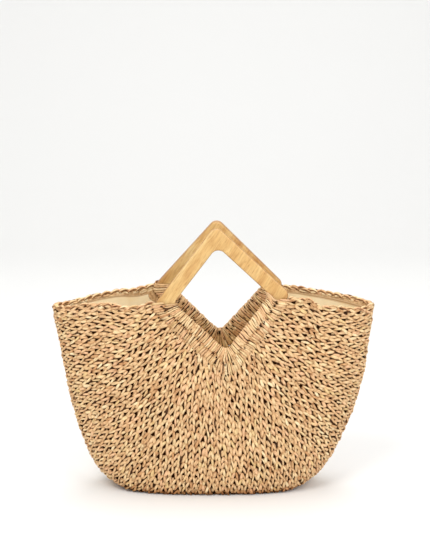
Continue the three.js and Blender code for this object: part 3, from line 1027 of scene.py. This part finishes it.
    # the rest of each turn, behind the outer edge
    a = np.radians(np.linspace(265, 400, 14)) * np.ones((n, 1))
    q, out, _ = turn_round(side, at + sway[:, :1], a, 1.2 + 0 * a, paths)
    back = np.clip(np.linalg.norm(np.gradient(q, axis=0), axis=-1) * 0.46, 0.75, 2.6)
    # a little painted shade behind the outer edge
    st.add(q, out, back, 1.3 + 0 * back, 0.1 + 0 * back, tone(n))
    # near-black strands painted in as shade where the strands part
    t = np.linspace(0, 1, 5)
    for at_s, gap, keep in ((-10.4, 3.6, 0.3), (3.2, 4.2, 0.5)):
        m = int(round(dv[-1] / gap))
        j = lambda q: rng.normal(0, q, (m, 1))
        e = np.interp((np.arange(m)[:, None] + 0.5 + j(0.15)) / m, dv / dv[-1], E) + 0 * t
        s = at_s + j(1.6) + 2.6 * t
        q, nrm = on_field(field, e, s, 0.75 + 0 * s)
        ok = rng.random(m) < keep
        wide = 0.85 * np.sin(np.pi * (0.15 + 0.7 * t)) * (1 + j(0.2))
        st.add(q[ok], nrm[ok], wide[ok], 0.35, 1.0, None, 4)
    # more near-black strands as painted shade round the inner side of the bar
    for middle, gap, keep in ((228, 4.6, 0.6), (258, 4.6, 0.5)):
        m = int(round((hi - lo) / gap))
        j = lambda q: rng.normal(0, q, (m, 1))
        a = np.radians(middle + 8 * j(1) + np.linspace(-10, 10, 5))
        along = (np.arange(m)[:, None] + 0.5 + j(0.2)) * (hi - lo) / m + lo + 0 * a
        q, nrm, _ = turn_round(side, along, a, 2.5 + 0 * a, paths)
        ok = rng.random(m) < keep
        wide = 0.75 * np.sin(np.pi * (0.15 + 0.7 * t)) * (1 + j(0.2))
        st.add(q[ok], nrm[ok], wide[ok], 0.3, 1.0, None, 4)
    return st


def wrap_core(side):
    """Near-black brown tube under the wrapped strands: painted shade in the gaps between them."""
    paths = bar_paths(side)
    at = np.linspace(paths[3] + 2.5, paths[4] - 6.5, 110)[:, None]
    a = np.linspace(0, 2 * np.pi, 33)[:-1] * np.ones((110, 1))
    p, _out, _ = turn_round(side, at + 0 * a, a, 0.75 + 0 * a, paths)
    k = np.arange(110 * 32).reshape(110, 32)
    kn = np.roll(k, -1, 1)
    q = np.stack([k[:-1], kn[:-1], kn[1:], k[1:]], -1).reshape(-1, 4)
    return mesh_object(f"wrap_{side}_bed", p.reshape(-1, 3), q, shade_bed)


wraps = {side: wrap(side) for side in ("front", "back")}
shade_beds = {side: wrap_core(side) for side in ("front", "back")}


# ---------------------------------------------------------------- backing shell, outer skin coloured as painted shade
def shell():
    verts, quads, inside = [], [], []
    base = 0
    for side in ("front", "back"):
        fld = fields[side]
        g, nr = fld["grid"][::4, ::4].copy(), fld["nrm"][::4, ::4]
        # the sides overlap at the seam, and stop short of the wrapped bar
        g[:, -1, 1] -= 2.0 * FRAMES[side]["sign"]
        g[:, 0] += 0.35 * (g[:, 1] - g[:, 0])
        a, b = g.shape[:2]
        # outer skin gets the painted-shade colour, inner skin the straw colour
        for depth, inn in ((3.0, 0.0), (4.3, 1.0)):
            p = g - nr * depth
            p[..., 2] = np.maximum(p[..., 2], 0.3)
            k = np.arange(a * b).reshape(a, b) + base
            q = np.stack([k[:-1, :-1], k[1:, :-1], k[1:, 1:], k[:-1, 1:]], -1).reshape(-1, 4)
            quads.append(q)
            verts.append(p.reshape(-1, 3))
            inside.append(np.full(a * b, inn))
            base += a * b
        # close the edges between the two skins
        o0, i0 = base - 2 * a * b, base - a * b
        k = np.arange(a * b).reshape(a, b)
        border = [k[0, :], k[-1, :], k[:, 0]]
        for line in border:
            quads.append(np.stack([line[:-1] + o0, line[1:] + o0, line[1:] + i0, line[:-1] + i0], -1))
    o = mesh_object("straw_backing_and_shade", np.concatenate(verts), np.concatenate(quads), backing_and_shade)
    at = o.data.attributes.new("inside", "FLOAT", "POINT")
    at.data.foreach_set("value", np.concatenate(inside).astype(np.float32))
    return o


backing_piece = shell()


# ---------------------------------------------------------------- lining
def lining():
    """A cloth pouch just inside the straw, hemmed below the rim."""
    verts, quads, top_edge_band = [], [], []
    base = 0
    fine = np.array([0, 0.0025, 0.005, 0.0075, 0.011, 0.016])
    e = np.r_[fine, np.linspace(0.024, 0.976, 118), 1 - fine[::-1]]
    rows_e, rows_f = len(e), 90
    for side in ("front", "back"):
        fld = fields[side]
        f = np.linspace(0, 1, rows_f)
        ee, ff = np.meshgrid(e, f, indexing="ij")
        length = np.interp(ee, E, fld["length"])
        p, nr = on_field(fld, ee, 7.0 + ff * (length - 7.0), -5.6 + 0 * ee)
        # the edge along the rim comes down, and the edge along the V goes in
        hem_drop = np.interp(p[..., 0], (-200, -150, -115, -85, 85, 110, 150, 200), (3.2, 3.8, 5.2, 8.4, 6.4, 5.0, 5.2, 6.6))
        down = hem_drop * np.clip(1 - np.minimum(ee, 1 - ee) / 0.14, 0, 1) ** 1.2
        p[..., 2] -= down
        # soft waves, none at the base
        wave = 0.9 * np.sin(p[..., 0] * 0.045 + 1.3 * (1 if side == "front" else 2)) * np.sin(p[..., 2] * 0.03)
        wave *= np.clip(p[..., 2] / 80, 0, 1) * np.clip(np.abs(p[..., 1]) / 20, 0, 1)
        p -= nr * (0.5 + np.abs(wave))[..., None]
        k = np.arange(rows_e * rows_f).reshape(rows_e, rows_f) + base
        quads.append(np.stack([k[:-1, :-1], k[1:, :-1], k[1:, 1:], k[:-1, 1:]], -1).reshape(-1, 4))
        verts.append(p.reshape(-1, 3))
        # band along the top edge of the lining, coloured darker brown
        fold = np.clip(1 - np.abs(np.minimum(ee, 1 - ee) - 0.0025) / 0.004, 0, 1)
        top_edge_band.append(fold.reshape(-1))
        base += rows_e * rows_f
    o = mesh_object("lining_cloth", np.concatenate(verts), np.concatenate(quads), cloth)
    at = o.data.attributes.new("top_edge_band", "FLOAT", "POINT")
    at.data.foreach_set("value", np.concatenate(top_edge_band).astype(np.float32))
    bm = bmesh.new()
    bm.from_mesh(o.data)
    bmesh.ops.remove_doubles(bm, verts=bm.verts, dist=0.0004)
    bm.to_mesh(o.data)
    bm.free()
    return o


lining_piece = lining()


# ---------------------------------------------------------------- wooden frames
def wooden_frame(side):
    f = FRAMES[side]
    names = ("top", "left", "bottom", "right")
    per = 20

    def outline(half, offset):
        pts = []
        corners = [diamond_corner(half, offset, CORNER, n, per) for n in names]
        for i, c in enumerate(corners):
            nxt = corners[(i + 1) % 4]
            pts.append(c)
            run = np.linspace(0, 1, 26)[1:-1, None]
            pts.append(c[-1] + (nxt[0] - c[-1]) * run)
        return np.concatenate(pts)

    # the section of a bar, from its outer face round to its inner face
    r = 2.2
    sec = []
    for cx, cy, t0 in ((1, 1, 0), (-1, 1, 90), (-1, -1, 180), (1, -1, 270)):
        for t in np.radians(np.linspace(t0, t0 + 90, 7)):
            sec.append((cx, r - r * math.cos(t) * cx if cx > 0 else r + r * math.cos(t), cy * (BAR_THICK / 2 - r) + r * math.sin(t)))
    rings = []
    for cx, inset, d in sec:
        if cx > 0:
            o = outline(OUTER_HALF, -inset)
        else:
            o = outline(INNER_HALF, inset)
        rings.append(frame_point(side, o[:, 0], o[:, 1], d))
    p = np.stack(rings, 1)
    a, b = p.shape[:2]
    k = np.arange(a * b).reshape(a, b)
    kn, km = np.roll(k, -1, 0), np.roll(k, -1, 1)
    q = np.stack([k, kn, np.roll(kn, -1, 1), km], -1).reshape(-1, 4)
    if f["sign"] > 0:
        q = q[:, ::-1]
    o = mesh_object(f"frame_{side}", p.reshape(-1, 3), q, wood)
    # how far round the edge of the bar each point lies; the wood gets painted shade there
    bar_edge_shade = np.array([np.clip(1 - inset / (0.55 * r), 0, 1) for _c, inset, _d in sec])
    at = o.data.attributes.new("side", "FLOAT", "POINT")
    at.data.foreach_set("value", np.tile(bar_edge_shade, a).astype(np.float32))
    return o


frames_built = {side: wooden_frame(side) for side in ("front", "back")}

# ---------------------------------------------------------------- pieces and frame
built = {}
for name, st in pieces.items():
    built[name] = st.build(straw)
built["straw_rim_chain"] = edge.build(straw)
built["straw_seam_chain"] = seam.build(straw)
for side, st in wraps.items():
    built[f"wrap_{side}"] = st.build(straw_deep)

for side in ("front", "back"):
    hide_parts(f"wrap_{side}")
    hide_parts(f"wrap_{side}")
    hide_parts(f"handle_{side}")
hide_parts("straw_body")
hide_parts("lining")
for o in [*built.values(), *frames_built.values(), *shade_beds.values(), backing_piece, lining_piece]:
    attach(o, "root")


# ---------------------------------------------------------------- floor, light, camera
def studio():
    m, nt, bsdf = new_material("floor_paper")
    n = node(nt, "ShaderNodeTexNoise")
    n.inputs["Scale"].default_value = 3.0
    nt.links.new(ramp(nt, [(0.3, (0.845, 0.845, 0.835)), (0.7, (0.865, 0.865, 0.855))], n.outputs["Fac"]), bsdf.inputs["Base Color"])
    bsdf.inputs["Roughness"].default_value = 0.9
    prof = [(-3000.0, 0.0), (1500.0, 0.0)]
    for t in np.linspace(0, 90, 24)[1:]:
        prof.append((1500 + 900 * math.sin(math.radians(t)), 900 - 900 * math.cos(math.radians(t))))
    prof.append((2400.0, 4000.0))
    v, q = [], []
    for y, z in prof:
        v += [(-6000, y, z), (6000, y, z)]
    for i in range(len(prof) - 1):
        q.append((2 * i, 2 * i + 1, 2 * i + 3, 2 * i + 2))
    o = mesh_object("floor_sweep", np.array(v, float), np.array(q), m)

    def area_light(name, loc, target, size, energy, colour=(1, 1, 1)):
        d = bpy.data.lights.new(name, "AREA")
        d.shape = "DISK"
        d.size, d.energy, d.color = size, energy, colour
        l = bpy.data.objects.new(name, d)
        l.location = loc
        l.rotation_euler = (Vector(target) - Vector(loc)).to_track_quat("-Z", "Y").to_euler()
        bpy.context.scene.collection.objects.link(l)

    area_light("key", (-0.8, -1.4, 2.0), (0, 0, 0.12), 1.2, 25, (1, 0.985, 0.96))
    area_light("fill", (1.2, -1.4, 1.5), (0, 0, 0.12), 1.4, 16, (0.98, 0.99, 1))
    area_light("top", (0.1, 0.5, 2.2), (0, 0, 0.1), 1.6, 19)
    world = bpy.data.worlds.new("studio")
    world.use_nodes = True
    world.node_tree.nodes["Background"].inputs[0].default_value = (1, 1, 1, 1)
    world.node_tree.nodes["Background"].inputs[1].default_value = 0.66
    bpy.context.scene.world = world

    cam = bpy.data.cameras.new("camera")
    cam.lens = 92.82
    cam.sensor_width = 36.0
    cam.sensor_fit = "AUTO"
    cam.clip_start, cam.clip_end = 0.05, 30
    c = bpy.data.objects.new("camera", cam)
    pitch = math.radians(12.0)
    dist, aim = 1.731, 0.2833
    c.location = (0.0025, -dist * math.cos(pitch), aim + dist * math.sin(pitch))
    c.rotation_euler = (math.pi / 2 - pitch, 0, 0)
    bpy.context.scene.collection.objects.link(c)
    bpy.context.scene.camera = c
    bpy.context.scene.view_settings.view_transform = "Standard"


studio()

print("triangles", {n: s.count() for n, s in [*pieces.items(), ("rim", edge), ("seam", seam), *(("wrap_" + k, v) for k, v in wraps.items())]})
